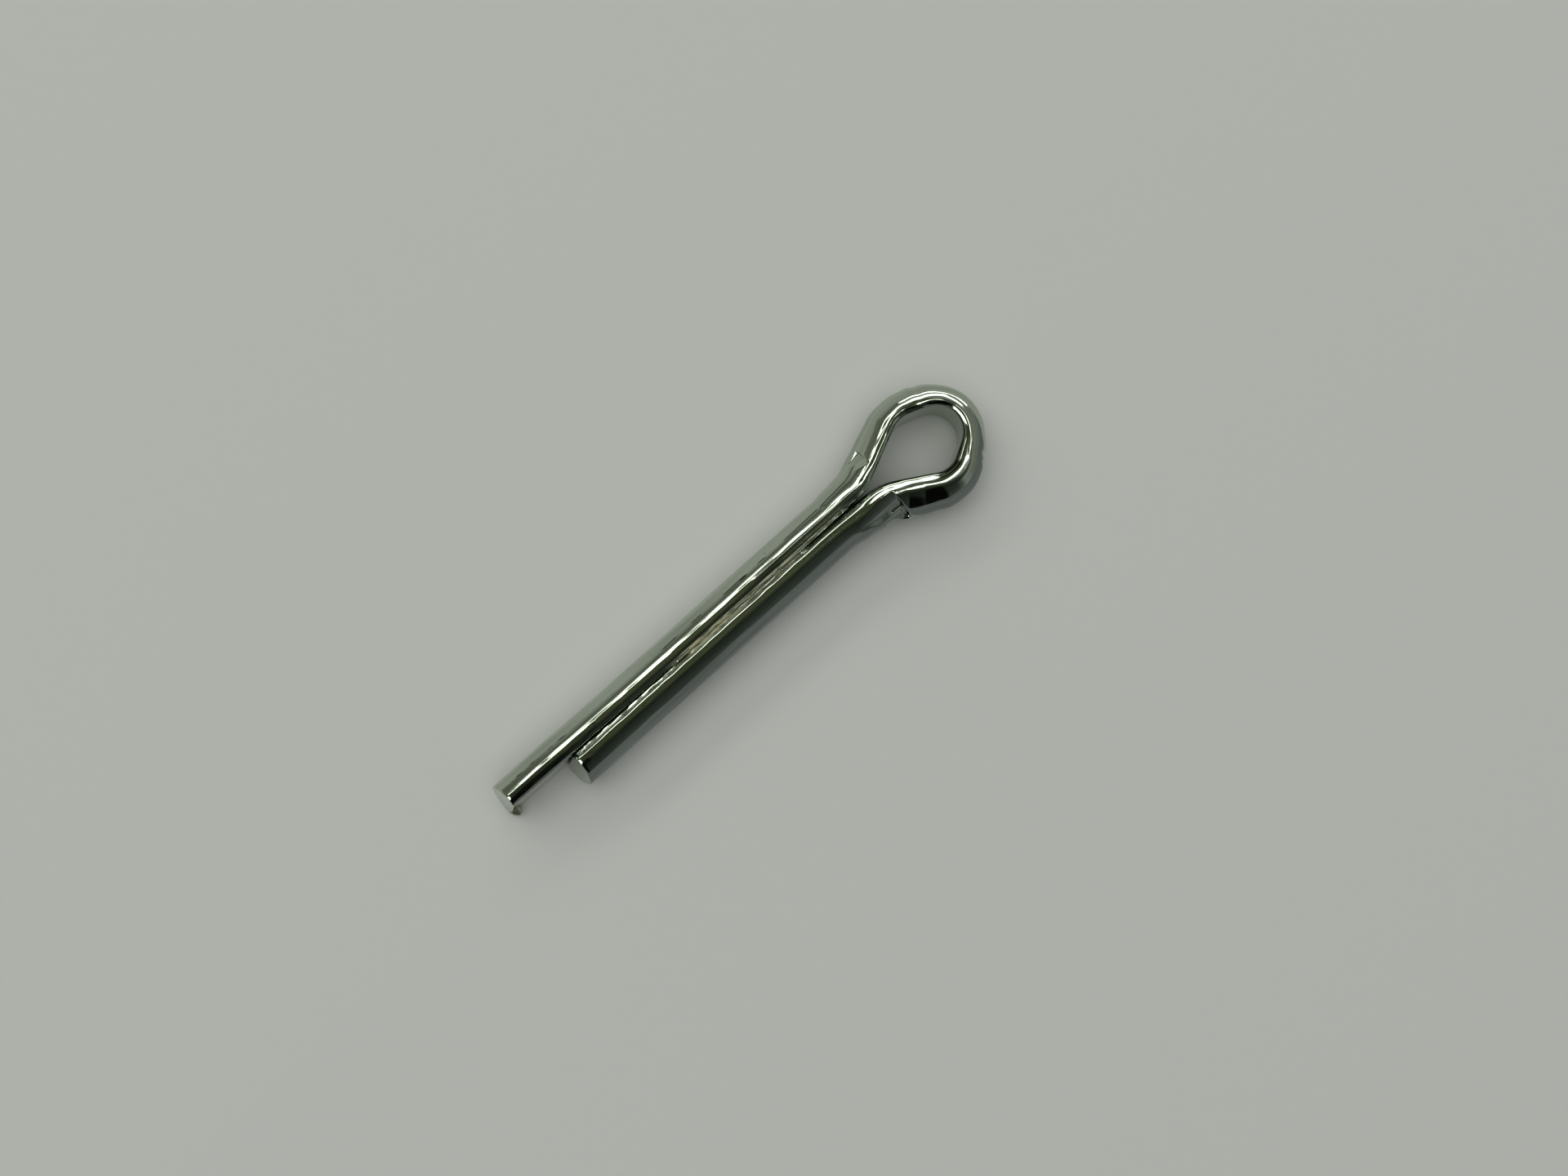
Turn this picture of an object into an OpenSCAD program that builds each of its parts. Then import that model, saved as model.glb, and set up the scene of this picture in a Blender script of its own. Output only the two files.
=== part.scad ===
// Split cotter pin, nominal size 4 mm, bent from one length of half-round zinc-plated steel wire.
// It lies on its side: X runs along the shank toward the eye, Y toward the long leg, Z up.
// The origin is on the shank's axis, halfway along the short leg. The modules are drawn from the end
// of the shank, where the eye's neck starts, and moved there at the end.

/* [Shank] */
// Diameter over both closed legs
shank_d = 3.6; // [3.3:0.05:4]
// Short leg, from the end of the shank to the middle of its cut end
short_leg_length = 20.2; // [8:0.05:60]
// How much further the long leg reaches
leg_extension = 4.3; // [1:0.1:8]
// Gap between the flat faces of the closed legs
leg_gap = 0.08; // [0.04:0.01:0.3]
// Rounding of the two long edges of the half-round wire
edge_r = 0.4; // [0.2:0.02:0.5]

/* [Cut ends] */
// Lean of the sheared end faces, which set the upper edge back
shear_angle = 21; // [5:0.5:30]
// Depth of the rolled-over upper edge of each cut end
roll_depth = 0.2; // [0.05:0.05:0.5]
// Angle of the rolled-over edge from the upright
roll_angle = 60; // [45:1:75]
// Length of the burr at its root, along the long leg
burr_length = 0.65; // [0.2:0.05:0.8]
// How far the burr hangs out past the flat face
burr_reach = 0.35; // [0.1:0.05:0.5]
// Height of the burr at its root
burr_height = 0.6; // [0.3:0.05:1]

/* [Crown of the eye] */
// Inside of the crown, from the end of the shank
crown_x = 9.25; // [8.8:0.05:12]
// Inside radius of the crown
crown_r = 1.5; // [1.2:0.05:1.6]
// Offset of the crown's centre from the shank's axis, toward the long leg
crown_y = -0.1; // [-0.2:0.02:0.2]
// Thickness of the wire at the crown, where bending drew it thinnest
crown_t = 1.48; // [1.2:0.02:1.7]
// Share of the crown's bend, from either end, over which the wire thins
crown_thinning = 0.4; // [0.2:0.05:1]

/* [Long leg's side of the eye] */
// Start of the shoulder bend, from the end of the shank
long_shoulder_x = 1.85; // [1.2:0.05:2.2]
// Radius of the shoulder bend on the flat face
long_shoulder_r = 3; // [2:0.1:4]
// Thickness of the wire at the shoulder
long_shoulder_t = 1.88; // [1.6:0.02:2.1]
// Thickness of the wire halfway from the shoulder to the belly
long_side_t = 1.78; // [1.6:0.02:2.1]
// Centre of the belly bend, from the end of the shank
long_belly_x = 6.7; // [6.2:0.05:7]
// Half width of the opening at the belly
long_belly_y = 1.78; // [1.65:0.02:2.2]
// Inside radius of the belly bend
long_belly_r = 1.4; // [0.9:0.05:1.5]
// Thickness of the wire at the belly
long_belly_t = 1.61; // [1.4:0.02:1.9]
// Thickness of the wire between belly and crown
long_flank_t = 1.7; // [1.4:0.02:1.9]

/* [Short leg's side of the eye] */
// Start of the shoulder bend, from the end of the shank
short_shoulder_x = 2.4; // [1.2:0.05:2.6]
// Radius of the shoulder bend on the flat face
short_shoulder_r = 3.2; // [2:0.1:4]
// Thickness of the wire at the shoulder, where the bend heaped it up
short_shoulder_t = 2.1; // [1.7:0.02:2.2]
// Thickness of the wire halfway from the shoulder to the belly
short_side_t = 2.12; // [1.7:0.02:2.2]
// Centre of the belly bend, from the end of the shank
short_belly_x = 7; // [6.4:0.05:7.2]
// Half width of the opening at the belly
short_belly_y = 2.05; // [1.8:0.02:2.3]
// Inside radius of the belly bend
short_belly_r = 1.4; // [0.9:0.05:1.6]
// Thickness of the wire at the belly
short_belly_t = 1.83; // [1.4:0.02:1.9]
// Thickness of the wire between belly and crown
short_flank_t = 1.68; // [1.4:0.02:1.9]

/* [Marks of the closing jaws] */
// Play between the shank and the round groove of the jaws
jaw_play = 0.06; // [0.04:0.01:0.12]
// How much the groove widens toward the edge of the jaws
jaw_flare = 0.06; // [0.02:0.01:0.12]
// Height of the groove over its width: it is taller, so it clears the top of the wire
jaw_tall = 1.25; // [1.1:0.05:1.4]
// Edge of the jaws near the top of the wire, from the end of the shank
jaw_edge_x = 3.8; // [3.3:0.05:4.5]
// Edge of the jaws beside the flash
jaw_mouth_x = 2.9; // [2.4:0.05:3.2]
// Height at which the edge reaches its full length
jaw_edge_z = 1.1; // [0.8:0.05:1.3]
// Half height of the flash that was left between the jaws
flash_z = 0.5; // [0.2:0.05:0.6]

/* [Hidden] */
$fn = 96;
zinc_plating = [0.74, 0.75, 0.70];

shank_r = shank_d / 2;
leg_t = shank_r - leg_gap / 2;
long_leg_length = short_leg_length + leg_extension;
// Height of the edge rounding's centre: the rounding touches both the flat face and the round face
edge_z = sqrt(pow(shank_r - edge_r, 2) - pow(edge_r + leg_gap / 2, 2));
// Angle at which the rounding runs into the round face
edge_angle = atan2(edge_z, edge_r + leg_gap / 2);
wire_h = 2 * (edge_z + edge_r);

// The eye is let into the legs by this length, a hair smaller than they are
seat_length = 0.4;
seat_scale = 0.98;

// Turn from ring to ring on the eye's bends, and steps along its straights
turn_step = 5;
neck_steps = 4;
side_steps = 8;
flank_steps = 4;
// Steps round the wire's round face and round each of its edges
face_steps = 16;
edge_steps = 4;

// ---- Section of the wire ----

function arc(cx, cy, r, from, to, steps) =
    [for (i = [0:steps]) let (a = from + (to - from) * i / steps) [cx + r * cos(a), cy + r * sin(a)]];

function middle_of(list) = [for (i = [1:len(list) - 2]) list[i]];

// Half-round section as points: x is the way out from the flat face, y the height
section = concat(
    arc(edge_r, -edge_z, edge_r, 180, 360 - edge_angle, edge_steps),
    middle_of(arc(-leg_gap / 2, 0, shank_r, -edge_angle, edge_angle, face_steps)),
    arc(edge_r, edge_z, edge_r, edge_angle, 180, edge_steps)
);

// The same section with true arcs
module wire_section() {
    wedge_x = 2 * shank_r * cos(edge_angle) - leg_gap / 2;
    wedge_y = 2 * shank_r * sin(edge_angle);
    root_y = leg_gap / 2 * tan(edge_angle);
    translate([0, -edge_z]) square([edge_r, 2 * edge_z]);
    for (side = [-1, 1]) translate([edge_r, side * edge_z]) circle(edge_r);
    intersection() {
        translate([-leg_gap / 2, 0]) circle(shank_r);
        polygon([
            [0, -root_y], [wedge_x, -wedge_y], [2 * shank_r, -wedge_y],
            [2 * shank_r, wedge_y], [wedge_x, wedge_y], [0, root_y]
        ]);
    }
}

// ---- Route of the flat face round the eye ----
// A bend is [centre x, centre y, radius, turn], with turn 1 to the left and -1 to the right.
// A station on the route is [x, y, heading, thickness of the wire].

function smooth(from, to, f) = from + (to - from) * f * f * (3 - 2 * f);

function last(list) = list[len(list) - 1];

// Heading of the straight that leaves bend a and runs into bend b
function heading(a, b) =
    let (across = [b.x - a.x, b.y - a.y])
    atan2(across.y, across.x) - asin((b[3] * b[2] - a[3] * a[2]) / norm(across));

// Thickness that passes from one value over a middle one to a third
function passing(from, middle, to, f) =
    f < 0.5 ? smooth(from, middle, 2 * f) : smooth(middle, to, 2 * f - 1);

function bend_stations(bend, from, to, from_t, middle_t, to_t) =
    let (steps = ceil(abs(to - from) / turn_step))
    [for (i = [0:steps])
        let (h = from + (to - from) * i / steps)
        [bend.x + bend[3] * bend[2] * sin(h), bend.y - bend[3] * bend[2] * cos(h), h,
         passing(from_t, middle_t, to_t, i / steps)]];

// The stations between two others, along a straight
function straight_stations(a, b, steps, middle_t) =
    [for (i = [1:steps - 1])
        let (f = i / steps)
        [a.x + (b.x - a.x) * f, a.y + (b.y - a.y) * f, a[2], passing(a[3], middle_t, b[3], f)]];

// Half of the crown's bend, from one flank to the top
function crown_stations(bend, from, from_t) =
    let (steps = ceil((from + 90) / turn_step))
    [for (i = [0:steps])
        let (h = from - (from + 90) * i / steps)
        [bend.x - bend[2] * sin(h), bend.y + bend[2] * cos(h), h,
         smooth(from_t, crown_t, min(1, i / steps / crown_thinning))]];

// One side of the eye, laid on the +Y side, from the shank to the top of the crown
function side_stations(shoulder, belly, crown, shoulder_t, side_t, belly_t, flank_t) =
    let (
        out = heading(shoulder, belly),
        in = heading(belly, crown),
        neck = [0, leg_gap / 2, 0, leg_t],
        shoulder_bend = bend_stations(shoulder, 0, out, shoulder_t, shoulder_t, shoulder_t),
        belly_bend = bend_stations(belly, out, in, (side_t + belly_t) / 2, belly_t, (belly_t + flank_t) / 2),
        crown_bend = crown_stations(crown, in, (flank_t + crown_t) / 2)
    )
    concat(
        straight_stations(neck, shoulder_bend[0], neck_steps, (leg_t + shoulder_t) / 2),
        shoulder_bend,
        straight_stations(last(shoulder_bend), belly_bend[0], side_steps, side_t),
        belly_bend,
        straight_stations(last(belly_bend), crown_bend[0], flank_steps, flank_t),
        crown_bend
    );

long_side = side_stations(
    [long_shoulder_x, leg_gap / 2 + long_shoulder_r, long_shoulder_r, 1],
    [long_belly_x, long_belly_y - long_belly_r, long_belly_r, -1],
    [crown_x - crown_r, crown_y, crown_r, -1],
    long_shoulder_t, long_side_t, long_belly_t, long_flank_t
);
short_side = side_stations(
    [short_shoulder_x, leg_gap / 2 + short_shoulder_r, short_shoulder_r, 1],
    [short_belly_x, short_belly_y - short_belly_r, short_belly_r, -1],
    [crown_x - crown_r, -crown_y, crown_r, -1],
    short_shoulder_t, short_side_t, short_belly_t, short_flank_t
);

// The short side is mirrored and run backward, from the crown to the shank
eye_route = concat(
    long_side,
    [for (i = [len(short_side) - 2:-1:0])
        let (s = short_side[i])
        [s.x, -s.y, 180 - s[2], s[3]]]
);

// ---- Eye ----

// The section set square to the route, with its thickness scaled to the station's
function ring(station, grow) =
    let (out = [-sin(station[2]), cos(station[2])], middle = leg_t / 2)
    [for (p = section)
        let (reach = (middle + (p.x - middle) * grow) * station[3] / leg_t)
        [station.x + out.x * reach, station.y + out.y * reach, p.y * grow]];

// Faces of a loft through rings of equally many points, closed by a face at each end
function loft_faces(rings, points) = concat(
    [[for (j = [0:points - 1]) j]],
    [for (i = [0:rings - 2], j = [0:points - 1])
        let (a = i * points + j, b = i * points + (j + 1) % points)
        each [[a, b + points, b], [a, a + points, b + points]]],
    [[for (j = [points - 1:-1:0]) (rings - 1) * points + j]]
);

module bent_wire() {
    long_seat = [for (x = [-seat_length, seat_length / 4]) ring([x, leg_gap / 2, 0, leg_t], seat_scale)];
    short_seat = [for (x = [seat_length / 4, -seat_length]) ring([x, -leg_gap / 2, 180, leg_t], seat_scale)];
    rings = concat(long_seat, [for (s = eye_route) ring(s, 1)], short_seat);
    polyhedron([for (r = rings) each r], loft_faces(len(rings), len(section)), convexity = 6);
}

// What the closing jaws pressed flush with the shank, above the flash that was left between them
module jaw_relief() {
    wide = 4 * shank_d;
    groove_r = shank_r + jaw_play;
    difference() {
        rotate([90, 0, 0]) translate([0, 0, -wide / 2]) linear_extrude(wide)
            polygon([
                [0, flash_z], [jaw_mouth_x, flash_z], [jaw_edge_x, jaw_edge_z],
                [jaw_edge_x, shank_d], [0, shank_d]
            ]);
        scale([1, 1, jaw_tall]) translate([-jaw_edge_x, 0, 0]) rotate([0, 90, 0])
            cylinder(h = 3 * jaw_edge_x, r1 = groove_r - jaw_flare, r2 = groove_r + 2 * jaw_flare);
    }
}

module eye() {
    difference() {
        bent_wire();
        jaw_relief();
        mirror([0, 0, 1]) jaw_relief();
    }
}

// ---- Legs ----

// Everything beyond a plane through [x, z] that leans back from the upright by an angle
module past_plane(x, z, angle) {
    big = 4 * shank_d;
    translate([x, 0, z]) rotate([0, angle, 0]) translate([-big, -big / 2, -big / 2]) cube(big);
}

// A leg on the +Y side, from the end of the shank to its sheared end
module leg(length) {
    blank = length + wire_h;
    roll_z = wire_h / 2 - roll_depth;
    difference() {
        translate([-blank, leg_gap / 2, 0]) rotate([90, 0, 90]) linear_extrude(blank) wire_section();
        past_plane(-length, 0, shear_angle);
        past_plane(-length + roll_z * tan(shear_angle), roll_z, roll_angle);
    }
}

// Burr at the foot of the long leg's cut end, hanging out past the flat face.
// It tapers from a root sunk into the leg to a thin lip.
module burr() {
    root_depth = edge_r / 2;
    foot_z = -edge_z - edge_r / 4;
    root_x = -long_leg_length + (foot_z + burr_height) * tan(shear_angle);
    lip_length = burr_length / 3;
    lip_height = burr_height / 5;
    translate([root_x, leg_gap / 2, foot_z]) hull() {
        cube([burr_length, root_depth, burr_height]);
        translate([lip_length / 2, -burr_reach, 0]) cube([lip_length, root_depth, lip_height]);
    }
}

module cotter_pin() {
    color(zinc_plating) translate([short_leg_length / 2, 0, 0]) {
        eye();
        leg(long_leg_length);
        mirror([0, 1, 0]) leg(short_leg_length);
        burr();
    }
}

cotter_pin();
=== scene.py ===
import bpy
import math
import numpy as np
from mathutils import Matrix, Vector


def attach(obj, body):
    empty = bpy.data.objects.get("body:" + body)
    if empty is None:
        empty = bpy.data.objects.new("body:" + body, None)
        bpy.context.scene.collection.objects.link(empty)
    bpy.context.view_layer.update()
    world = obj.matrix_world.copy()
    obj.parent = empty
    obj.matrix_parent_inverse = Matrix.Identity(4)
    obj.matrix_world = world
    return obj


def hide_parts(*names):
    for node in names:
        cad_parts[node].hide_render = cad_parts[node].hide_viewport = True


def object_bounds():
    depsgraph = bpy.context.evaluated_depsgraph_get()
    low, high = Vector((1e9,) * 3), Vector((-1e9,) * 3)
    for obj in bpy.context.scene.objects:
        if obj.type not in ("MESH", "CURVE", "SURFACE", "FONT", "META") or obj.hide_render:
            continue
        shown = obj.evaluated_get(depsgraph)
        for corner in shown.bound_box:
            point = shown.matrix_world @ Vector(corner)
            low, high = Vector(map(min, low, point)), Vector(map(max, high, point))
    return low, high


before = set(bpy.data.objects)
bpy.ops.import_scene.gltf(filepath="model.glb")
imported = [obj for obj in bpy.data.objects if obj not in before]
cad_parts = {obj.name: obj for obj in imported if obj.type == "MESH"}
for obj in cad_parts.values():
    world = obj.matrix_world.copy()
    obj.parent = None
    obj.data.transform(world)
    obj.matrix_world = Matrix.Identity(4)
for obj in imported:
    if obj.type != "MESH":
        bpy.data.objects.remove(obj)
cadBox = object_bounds()
mm = 0.001  # sizes below are in millimetres unless they say otherwise
uvUnit = 100  # millimetres of wire to one UV unit


def linear(hexText):
    # sRGB hex to linear RGBA
    parts = [int(hexText[i:i + 2], 16) / 255 for i in (1, 3, 5)]
    return [p / 12.92 if p <= 0.04045 else ((p + 0.055) / 1.055) ** 2.4 for p in parts] + [1.0]


def smooth(f):
    # eases in and out of a share that runs from 0 to 1
    f = np.clip(f, 0, 1)
    return f * f * (3 - 2 * f)


def between(place, start, end, fadeIn, fadeOut):
    # 1 between two places and 0 outside them, eased just inside each
    return smooth((place - start) / fadeIn) * smooth((end - place) / fadeOut)


def ripple(a, b, seed):
    # soft random hills of height about 1, one per unit of a and b; the pattern repeats after 64 of them
    cells = 64
    grid = np.random.default_rng(seed).uniform(-1, 1, (cells, cells))
    i, j = np.floor(a).astype(int), np.floor(b).astype(int)
    u, v = smooth(a - i), smooth(b - j)
    at = lambda p, q: grid[p % cells, q % cells]
    low = at(i, j) * (1 - u) + at(i + 1, j) * u
    high = at(i, j + 1) * (1 - u) + at(i + 1, j + 1) * u
    return low * (1 - v) + high * v


# The wire runs from the long leg's end, round the eye, to the short leg's end. A place along it is counted
# from the long leg's end, or back from the short leg's end if it is negative. A place over its top edge is
# above 0 toward the other leg and below 0 toward the outside. A pair without a note is for the long leg's
# side and the short leg's side.
pin = {
    "shankRadius": 1.8, "legGap": 0.08, "edgeRadius": 0.4, "shortLeg": 20.2, "longLeg": 24.5,
    "crownX": 9.25, "crownRadius": 1.5, "crownY": -0.1, "crownThickness": 1.48, "crownThinning": 0.4,
    # shoulder start, shoulder radius, belly centre, belly half width, belly radius
    "longSide": (1.85, 3.0, 6.7, 1.78, 1.4),
    "shortSide": (2.4, 3.2, 7.0, 2.02, 1.4),
    # wire thickness at the shoulder, on the slope, at the belly, on the flank
    "longThickness": (1.88, 1.78, 1.61, 1.7),
    "shortThickness": (2.12, 2.2, 1.92, 1.72),

    # stations on each bend and straight of the route
    "bendSteps": 60, "straightSteps": 80,
    # points on the flat face, the lower edge, up the round face, and the top edge
    "flatSteps": 12, "bottomSteps": 8, "lowerSteps": 12, "upperSteps": 8,
    "shoulderSteps": 42, "topSteps": 32,
    "shoulder": 0.95,  # how much of the round face beside the top edge is drawn finely, in radians
    # spacing of the rings: inward from each cut end, about each jaw's edge, and from the legs to the eye
    "endRings": ((0, 0.004), (0.06, 0.012), (0.4, 0.03), (1.3, 0.07), (2.6, 0.15)),
    "jawRings": ((-1.2, 0.07), (-0.3, 0.03), (0.3, 0.03), (1.2, 0.065)),
    "eyeRings": ((22, 0.15), (24, 0.08), (-22, 0.08), (-20, 0.15)),
    "spacingSteps": 20001,  # steps in which the spacing is added up

    # uneven surface: height, length along the wire, width across it, shift of the pattern, seed
    "drawn": (0.0024, 3.4, 0.3, 20, 3),       # ridges left by the drawing die
    "fine": (0.0022, 1.1, 0.18, 40, 5),       # finer ones between them
    "waves": (0.005, 3.6, 1.3, 9, 8),         # slow waves of a cheap wire
    "nibbled": (0.005, 0.7, 0.1, 60, 15),     # nibbled look of the top edge
    "shelfBumps": (1, 0.5, 0.06, 70, 31),     # ragged shelves; their own roughness gives the height
    "creaseWander": (0.012, 2.3, 1, 0, 12),   # how far creases stray sideways
    "scratchAndShadeWander": (0.01, 1.1, 1, 0, 33),   # the same for scratches and for the bands of painted shade
    "nibbledFrom": -0.25, "nibbledFade": 0.2,  # where over the top edge the nibbling begins
    "wornFace": 0.15,  # how far the wear reaches onto the flat face from its edges
    # ridges and creases: start and end along the wire, place over the top edge, height, half width
    "creases": (
        (18.5, 27.5, 0.01, 0.03, 0.034), (20.3, 25.9, 0.22, 0.03, 0.032), (18.0, 26.3, 0.41, 0.04, 0.035),
        (1.0, 26.5, -0.16, -0.005, 0.1), (27.6, 30.0, -0.05, -0.015, 0.08),
        (29.3, 31.6, -0.13, -0.012, 0.08), (-30.0, -26.9, 0.08, -0.036, 0.1),
        (-27.4, -25.2, 0.3, -0.045, 0.1), (-25.9, -24.1, 0.265, -0.045, 0.1),
        (-24.9, -21.4, 0.2, -0.04, 0.09),
    ),
    "creaseFade": 0.9,
    # a raised fleck and a small dent: place along, place over the top edge, half length, half width, height
    "marks": ((7.1, 0.0, 0.08, 0.05, 0.022), (24.55, -0.495, 0.1, 0.05, -0.02)),
    # radius of the top edge at places along the wire
    "topRadius": (
        (0, 0.47), (25, 0.47), (27.5, 0.42), (30.5, 0.4), (33, 0.32), (35, 0.36), (-29.5, 0.48),
        (-28.5, 0.58), (-27, 0.58), (-25, 0.52), (-22, 0.62), (-17, 0.56), (-0.1, 0.54),
    ),
    # how far the wire's top leans outward at places along it, in degrees
    "lean": (
        (0, 0), (25.5, 0), (26.5, 2), (27.5, 5), (28, 9), (28.4, 14), (28.9, 16), (29.3, 15), (30, 12),
        (30.5, 9), (31, 5), (31.8, 0), (-28, 0), (-27, 1), (-26, 3), (-25, -1), (-24.4, -8), (-23.8, -10),
        (-22.8, -10), (-21.5, -3), (-20, 0), (-0.1, 0),
    ),
    "leanPivot": 0.1,  # how far out from the flat face the lean leaves the height as it is
    # shelves where the plating bridges the seam: start and end along the wire, width, depth below the top
    # edge, slope, fade, roughness; a shelf sinks out of sight over its fade
    "shelves": (
        (12.0, 26.0, 0.16, 0.09, 0.2, 0.8, 0.014), (-18.5, -8.7, 0.16, 0.1, 0.2, 0.8, 0.014),
        (-8.4, -0.05, 0.14, 0.15, 0.51, 0.3, 0.005),
    ),
    "shelfSink": 0.5,
    # how far each leg leans over half the gap, and where: start, end, fade in, fade out; start, fade in
    "legsMeet": 0.028, "longMeets": (3.5, 27, 2, 3), "shortMeets": (-23, 3),
    # the long leg's bow away from the other leg and its twist in degrees, how far they reach from its end,
    # and how far out from the flat face it turns
    "bow": 0.07, "twist": 1.5, "bowReach": 13.0, "twistPivot": 0.5,

    # the groove that the closing jaws left: how far outside the shank it begins, how far it flares by the
    # jaws' edge, its height and width against a round one's, and where along X the jaws' edge is
    "jawPlay": (0.01, 0.06), "jawFlare": (0.03, 0.06), "jawTall": (1.08, 1.0), "jawEdge": (3.8, 3.62),
    "jawWide": (1.09, 1.12), "jawWideBelow": 1.3, "jawWideFade": 0.5,  # its extra width ends below the edge
    # length of the step at the flash and at the top of the wire, and the height where it begins to change
    "jawStep": 0.05, "jawStepTop": (0.25, 0.06), "jawStepFrom": 1.0, "jawStepFade": 0.45,
    # the flash between the jaws: height and place of its upper edge, and how steeply it falls away
    "flashTop": (0.83, 0.62), "flashFrom": (1.48, 2.0), "flashSlope": (0.45, 1.4), "flashWide": 0.75,

    # the sheared ends: lean in degrees, how far it reaches, rim, and the top edge rolled over by the blade
    "shearAngle": 21, "shearReach": 2.0, "rimRadius": 0.055, "rollDepth": 0.12, "rollLength": 0.2,
    "rollFrom": 0.3, "rollFade": 0.5,  # by how far the surface looks up, from 0 to 1
    # rings of the cut face, as shares of its rim, and its torn lower part
    "cutRings": (0.99, 0.96, 0.9, 0.82, 0.73, 0.64, 0.54, 0.44, 0.34, 0.24, 0.13),
    "tornHeight": 0.02, "tornSize": 0.3, "tornBelow": 0.2, "tornFade": 0.6, "tornRim": 0.08,
    "tornShift": 30, "tornSeeds": (21, 22),

    # duller, rougher and less metallic where the legs touch, strongest near the middle of the shank, with a
    # darker, yellower colour that paints the shade of light bouncing between the legs: start and end along
    # the wire, fade in, fade out, strength
    "shadedFilm": (
        (12, 26, 1.5, 3.0, 0.62), (-19, -8.5, 4.0, 1.5, 0.62),
        (11.6, 17.1, 1.2, 1.2, 0.38), (-12.8, -7.3, 1.2, 1.2, 0.38),
    ),
    "shadedFilmFrom": (0.25, 0.28), "shadedFilmFade": 0.07,
    # dark scratches, and bands of painted shade: start and end along the wire, place over the top edge at
    # each
    "scratchesAndPaintedShade": (
        (1.0, 1.3, -0.66, -0.66), (1.55, 2.2, -0.64, -0.66), (2.6, 3.2, -0.66, -0.65),
        (4.0, 4.4, -0.64, -0.65), (4.65, 5.4, -0.66, -0.64), (12.4, 13.7, -0.6, -0.62),
        (14.6, 15.6, -0.62, -0.64), (17.0, 18.9, -0.6, -0.62), (18.2, 19.0, -0.54, -0.55),
        (19.6, 20.4, -0.62, -0.61), (21.6, 24.4, -0.6, -0.66), (24.4, 28.2, -0.66, -0.86),
        # painted shade: dark bands that break the lamp lines along the top of the eye, where the metal shows
        # no light
        (31.8, 32.85, -0.04, -0.04), (31.8, 32.85, 0.03, 0.03), (31.8, 32.85, 0.1, 0.1),
        (33.9, 34.8, -0.04, -0.04), (33.9, 34.8, 0.03, 0.03), (33.9, 34.8, 0.1, 0.1),
        (-28.3, -26.8, 0.25, 0.25), (-28.3, -26.8, 0.3, 0.3), (-28.3, -26.8, 0.35, 0.35),
    ),
    # width and fade of the scratches and of the bands of painted shade
    "scratchWidth": 0.032, "scratchAndShadeFade": 0.25,
}
toOrigin = pin["shortLeg"] / 2  # the frame's origin is halfway along the short leg
seamToEdge = pin["edgeRadius"] + pin["legGap"] / 2
legThickness = pin["shankRadius"] - pin["legGap"] / 2
edgeCentre = math.sqrt((pin["shankRadius"] - pin["edgeRadius"]) ** 2 - seamToEdge ** 2)
edgeAngle = math.atan2(edgeCentre, seamToEdge)
halfHeight = edgeCentre + pin["edgeRadius"]
shearLean = math.tan(math.radians(pin["shearAngle"]))


def bend(centre, radius, turn, start, end, thick):
    # stations x, y, heading, thickness round a bend; thick gives the thickness for a share of it
    f = np.linspace(0, 1, pin["bendSteps"])
    heading = start + (end - start) * f
    x = centre[0] + turn * radius * np.sin(heading)
    y = centre[1] - turn * radius * np.cos(heading)
    return np.stack([x, y, heading, thick(f)], 1)


def straight(a, b, thick):
    # stations between two stations that share a heading
    f = np.linspace(0, 1, pin["straightSteps"])[1:-1]
    x = a[0] + (b[0] - a[0]) * f
    y = a[1] + (b[1] - a[1]) * f
    return np.stack([x, y, np.full(len(f), a[2]), thick(f)], 1)


def passing(low, middle, high):
    # a thickness that eases from one value to the next and on to the last
    first = lambda f: low + (middle - low) * smooth(2 * f)
    second = lambda f: middle + (high - middle) * smooth(2 * f - 1)
    return lambda f: np.where(f < 0.5, first(f), second(f))


def sideRoute(shape, thickness, crownY):
    # one side of the eye, laid on the +Y side, from the shank to the top of the crown
    shoulderX, shoulderRadius, bellyX, bellyY, bellyRadius = shape
    shoulderThick, slopeThick, bellyThick, flankThick = thickness
    crownRadius, crownThick = pin["crownRadius"], pin["crownThickness"]
    shoulder = (shoulderX, pin["legGap"] / 2 + shoulderRadius)
    belly = (bellyX, bellyY - bellyRadius)
    crown = (pin["crownX"] - crownRadius, crownY)
    across = (belly[0] - shoulder[0], belly[1] - shoulder[1])
    out = math.atan2(across[1], across[0]) + math.asin((bellyRadius + shoulderRadius) / math.hypot(*across))
    down = (crown[0] - belly[0], crown[1] - belly[1])
    into = math.atan2(down[1], down[0]) + math.asin((crownRadius - bellyRadius) / math.hypot(*down))
    crownStart = (flankThick + crownThick) / 2
    thinning = lambda f: crownStart + (crownThick - crownStart) * smooth(f / pin["crownThinning"])
    first = bend(shoulder, shoulderRadius, 1, 0, out, lambda f: np.full(len(f), shoulderThick))
    overBelly = passing((slopeThick + bellyThick) / 2, bellyThick, (bellyThick + flankThick) / 2)
    second = bend(belly, bellyRadius, -1, out, into, overBelly)
    third = bend(crown, crownRadius, -1, into, -math.pi / 2, thinning)
    neck = np.array([0, pin["legGap"] / 2, 0, legThickness])
    return np.concatenate([
        [neck],
        straight(neck, first[0], passing(legThickness, (legThickness + shoulderThick) / 2, shoulderThick)),
        first,
        straight(first[-1], second[0], passing(shoulderThick, slopeThick, second[0][3])),
        second,
        straight(second[-1], third[0], passing(second[-1][3], flankThick, crownStart)),
        third,
    ])


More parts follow.
